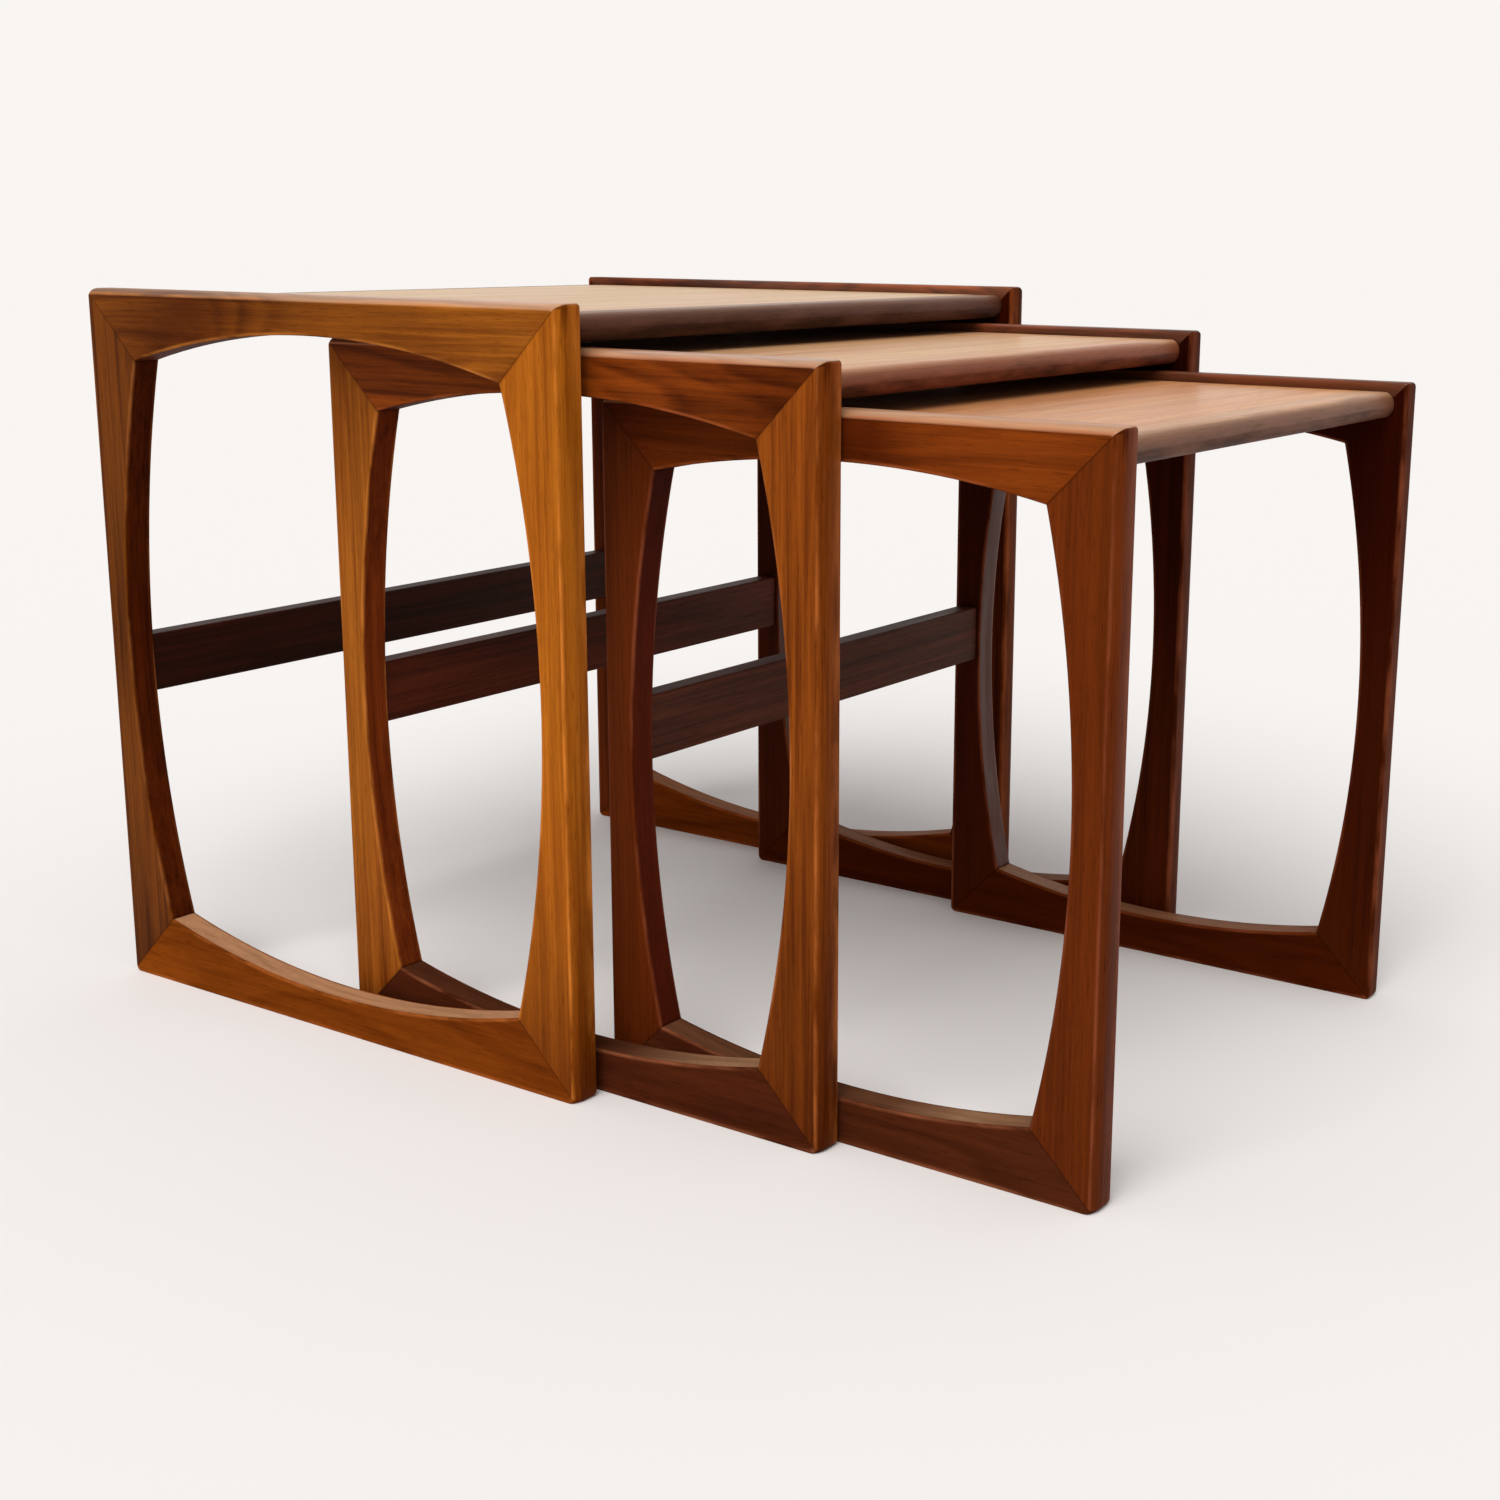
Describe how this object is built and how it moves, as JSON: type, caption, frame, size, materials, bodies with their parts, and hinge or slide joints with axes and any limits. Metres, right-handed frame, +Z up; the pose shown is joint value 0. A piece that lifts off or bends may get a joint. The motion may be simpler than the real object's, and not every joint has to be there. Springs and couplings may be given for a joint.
{
  "type": "nesting tables",
  "caption": "Nest of low occasional tables with mitred bow-sided side frames, bullnosed tops and back stretchers; the smaller ones slide out from under the larger to the front.",
  "frame": {"origin": "on the floor, at the middle of the nest's footprint with both smaller tables pulled out", "axes": "+X right seen from the front, +Y to the back, +Z up; the smaller tables pull out along -Y"},
  "size_m": [0.535, 0.765, 0.49],
  "materials": {
    "frame_teak": "oiled teak, satin, straight grain along each member",
    "top_teak": "teak veneer, satin lacquer",
    "lipping_teak": "solid teak lipping, satin",
    "stretcher_teak": "dark stained teak, satin",
    "dowel_beech": "bare beech"
  },
  "bodies": {
    "large_table": {"large_left_front_leg": "frame_teak", "large_left_back_leg": "frame_teak", "large_left_top_rail": "frame_teak", "large_left_bottom_rail": "frame_teak", "large_left_top_dowel_front": "dowel_beech", "large_left_top_dowel_back": "dowel_beech", "large_left_stretcher_dowel_upper": "dowel_beech", "large_left_stretcher_dowel_lower": "dowel_beech", "large_right_front_leg": "frame_teak", "large_right_back_leg": "frame_teak", "large_right_top_rail": "frame_teak", "large_right_bottom_rail": "frame_teak", "large_right_top_dowel_front": "dowel_beech", "large_right_top_dowel_back": "dowel_beech", "large_right_stretcher_dowel_upper": "dowel_beech", "large_right_stretcher_dowel_lower": "dowel_beech", "large_top_panel": "top_teak", "large_front_lipping": "lipping_teak", "large_back_lipping": "lipping_teak", "large_stretcher": "stretcher_teak"},
    "middle_table": {"middle_left_front_leg": "frame_teak", "middle_left_back_leg": "frame_teak", "middle_left_top_rail": "frame_teak", "middle_left_bottom_rail": "frame_teak", "middle_left_top_dowel_front": "dowel_beech", "middle_left_top_dowel_back": "dowel_beech", "middle_left_stretcher_dowel_upper": "dowel_beech", "middle_left_stretcher_dowel_lower": "dowel_beech", "middle_right_front_leg": "frame_teak", "middle_right_back_leg": "frame_teak", "middle_right_top_rail": "frame_teak", "middle_right_bottom_rail": "frame_teak", "middle_right_top_dowel_front": "dowel_beech", "middle_right_top_dowel_back": "dowel_beech", "middle_right_stretcher_dowel_upper": "dowel_beech", "middle_right_stretcher_dowel_lower": "dowel_beech", "middle_top_panel": "top_teak", "middle_front_lipping": "lipping_teak", "middle_back_lipping": "lipping_teak", "middle_stretcher": "stretcher_teak"},
    "small_table": {"small_left_front_leg": "frame_teak", "small_left_back_leg": "frame_teak", "small_left_top_rail": "frame_teak", "small_left_bottom_rail": "frame_teak", "small_left_top_dowel_front": "dowel_beech", "small_left_top_dowel_back": "dowel_beech", "small_left_stretcher_dowel_upper": "dowel_beech", "small_left_stretcher_dowel_lower": "dowel_beech", "small_right_front_leg": "frame_teak", "small_right_back_leg": "frame_teak", "small_right_top_rail": "frame_teak", "small_right_bottom_rail": "frame_teak", "small_right_top_dowel_front": "dowel_beech", "small_right_top_dowel_back": "dowel_beech", "small_right_stretcher_dowel_upper": "dowel_beech", "small_right_stretcher_dowel_lower": "dowel_beech", "small_top_panel": "top_teak", "small_front_lipping": "lipping_teak", "small_back_lipping": "lipping_teak", "small_stretcher": "stretcher_teak"}
  },
  "joints": [
    {"name": "middle_table_slide", "type": "slide", "parent": "large_table", "child": "middle_table", "axis": [0, -1, 0], "range_m": [-0.185, 0.235]},
    {"name": "small_table_slide", "type": "slide", "parent": "middle_table", "child": "small_table", "axis": [0, -1, 0], "range_m": [-0.19, 0.19]}
  ]
}
